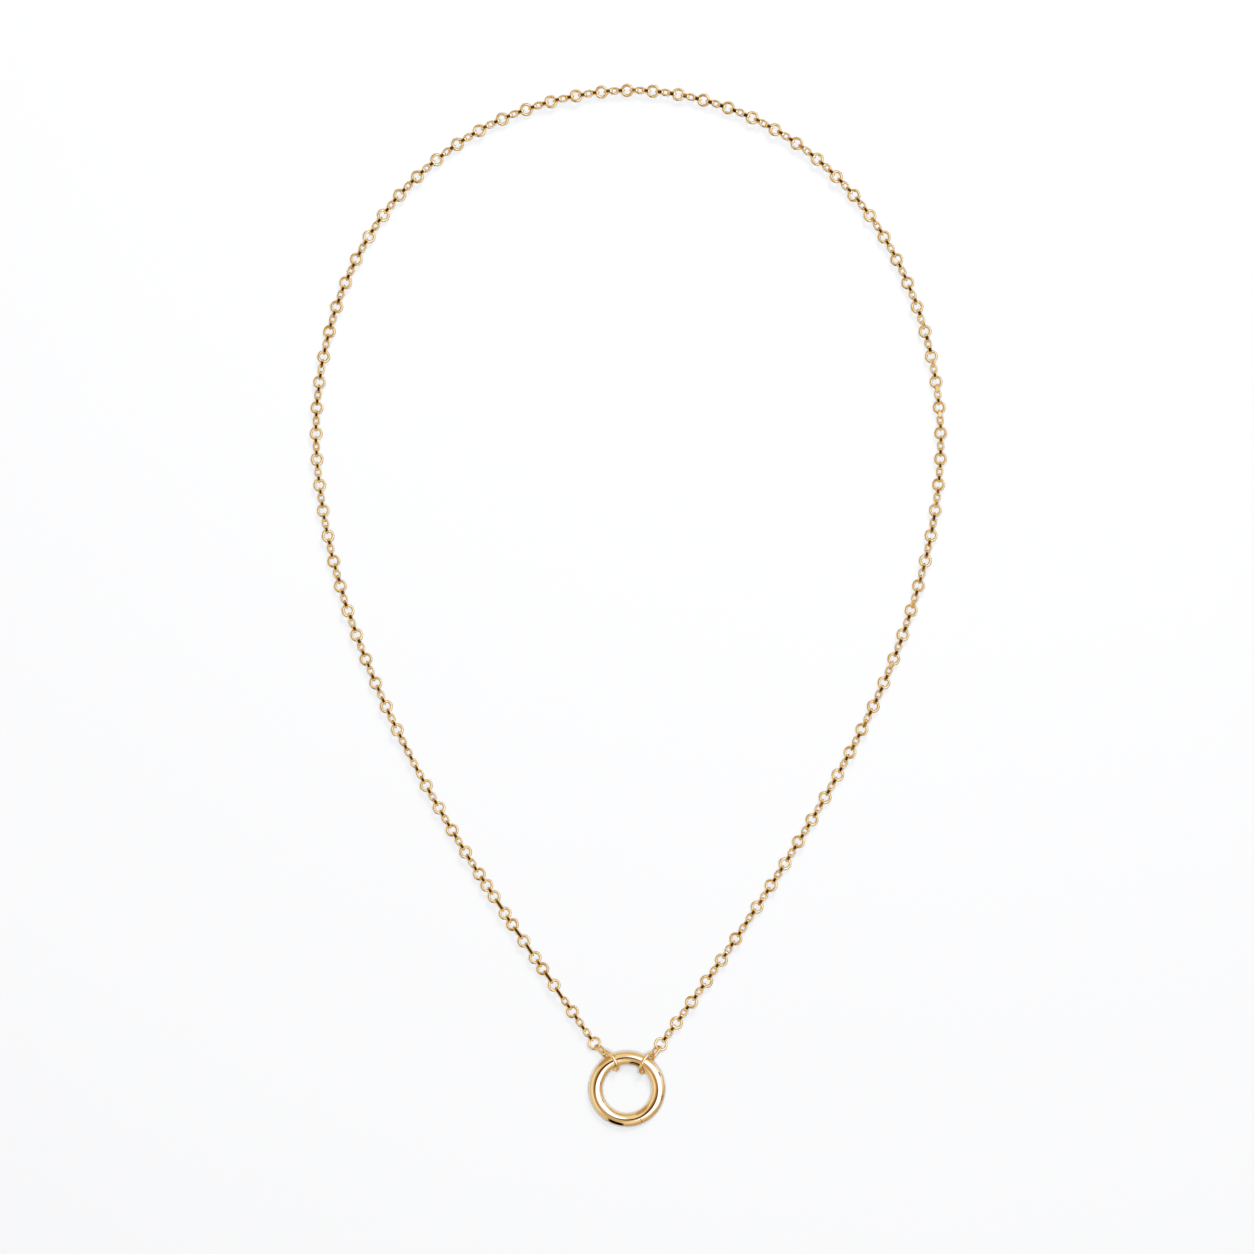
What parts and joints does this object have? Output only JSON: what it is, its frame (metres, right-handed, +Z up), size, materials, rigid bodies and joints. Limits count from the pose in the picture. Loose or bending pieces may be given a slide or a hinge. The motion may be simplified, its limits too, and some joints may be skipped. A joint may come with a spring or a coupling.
{
  "type": "open circle pendant on a chain",
  "caption": "Polished yellow gold open circle pendant hung by two jump rings from a fine rolo chain, lying flat as a closed neck loop.",
  "frame": {"origin": "on the surface that the necklace lies on, in the middle of its outline seen from above", "axes": "+X to the right, +Y from the pendant towards the back of the neck loop, +Z up off the surface"},
  "size_m": [0.1186, 0.1944, 0.0046],
  "materials": {
    "pendant": "mirror polished yellow gold",
    "jump_ring": "polished yellow gold wire",
    "chain": "polished yellow gold links"
  },
  "bodies": {
    "root": {"pendant_ring": "pendant", "jump_ring_left": "jump_ring", "jump_ring_right": "jump_ring", "end_link_left": "chain", "end_link_right": "chain", "round_link_left": "chain", "round_link_right": "chain", "chain_left": "chain", "chain_right": "chain"}
  },
  "joints": []
}
